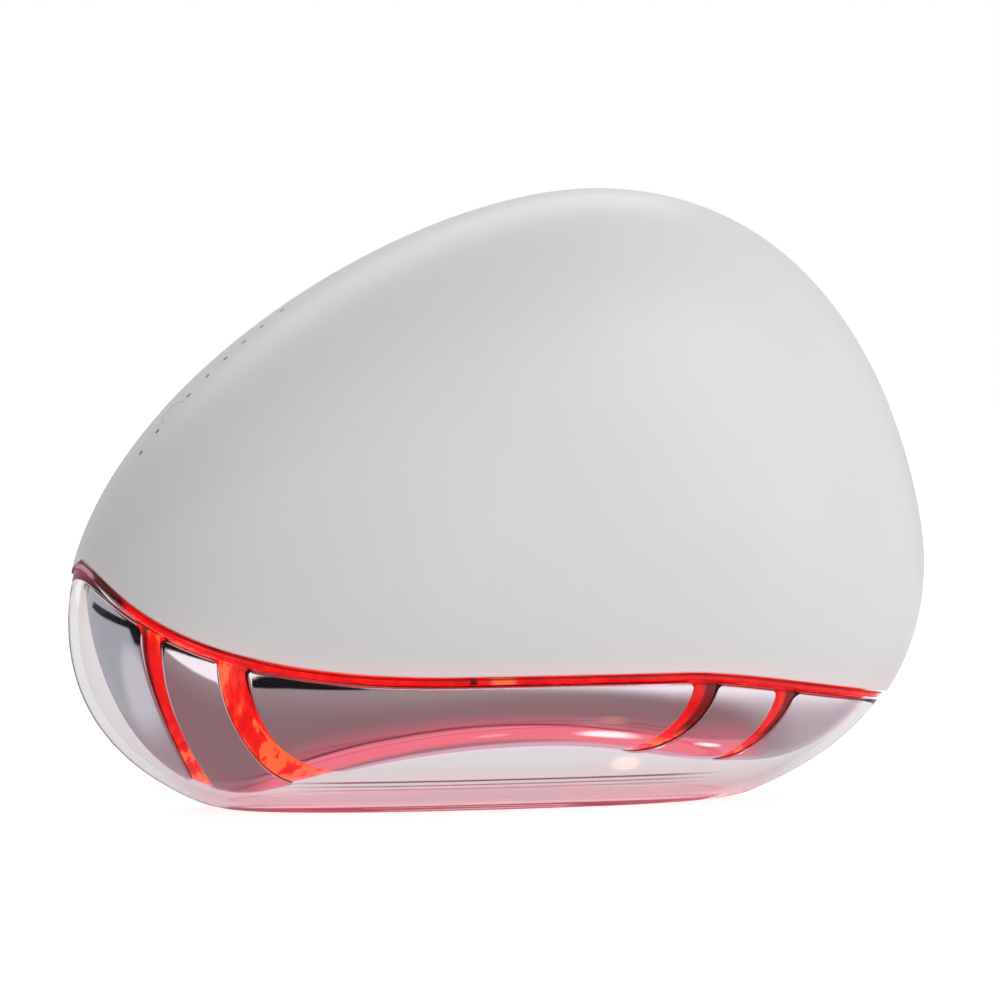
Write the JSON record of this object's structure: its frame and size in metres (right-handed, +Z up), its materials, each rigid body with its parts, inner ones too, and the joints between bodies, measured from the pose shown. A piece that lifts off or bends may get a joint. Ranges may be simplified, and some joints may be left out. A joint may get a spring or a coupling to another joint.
{
  "type": "facial massager",
  "caption": "Palm-held EMS and red-light facial massager: pearl shell, chrome electrode plates parted by glowing red grooves, standing in its clear cover",
  "frame": {"origin": "centre of the flat base of the clear cover, on the table", "axes": "+X runs along the length of the pebble to the charging port, -Y is the front face, +Z is up"},
  "size_m": [0.102, 0.041, 0.0708],
  "materials": {
    "pearl_shell": "satin",
    "mirror_chrome": "polished",
    "red_guide": "polished",
    "clear_cover": "polished",
    "black_seal": "matte",
    "dark_plastic": "matte",
    "steel": "satin",
    "board": "satin",
    "cell_foil": "satin",
    "gold_pins": "polished",
    "lamps": "gloss",
    "white_board": "satin"
  },
  "bodies": {
    "cover": {"clear_cover": "clear_cover"},
    "device": {"front_shell": "pearl_shell", "rear_shell": "pearl_shell", "head_gasket": "black_seal", "head_ring": "dark_plastic", "light_ring": "red_guide", "light_guide": "red_guide", "left_end_electrode": "mirror_chrome", "left_electrode": "mirror_chrome", "centre_electrode": "mirror_chrome", "right_electrode": "mirror_chrome", "right_end_electrode": "mirror_chrome", "indicator_pips": "dark_plastic", "power_switch": "dark_plastic", "mode_switch": "dark_plastic", "button_boards": "board", "charge_socket": "steel", "charge_board": "board", "chassis": "dark_plastic", "chassis_screws": "steel", "main_board": "board", "battery": "cell_foil", "battery_pad": "black_seal", "led_board": "white_board", "red_leds": "lamps", "contact_pins": "gold_pins", "vibration_motor": "steel"},
    "power_button": {"power_button": "pearl_shell"},
    "mode_button": {"mode_button": "pearl_shell"},
    "rotor": {"motor_shaft": "steel", "motor_weight": "steel"}
  },
  "joints": [
    {"name": "device_lift", "type": "slide", "parent": "cover", "child": "device", "axis": [0, 0, 1], "range_m": [0, 0.045]},
    {"name": "power_press", "type": "slide", "parent": "device", "child": "power_button", "axis": [0.5301, 0.0153, -0.8478], "range_m": [0, 0.0004], "stiffness_N_per_m": 600},
    {"name": "mode_press", "type": "slide", "parent": "device", "child": "mode_button", "axis": [0.7243, 0.178, -0.6662], "range_m": [0, 0.0004], "stiffness_N_per_m": 600},
    {"name": "motor_turn", "type": "hinge", "parent": "device", "child": "rotor", "pos_m": [-0.012, -0.008, 0.0236], "axis": [1, 0, 0], "continuous": true}
  ]
}
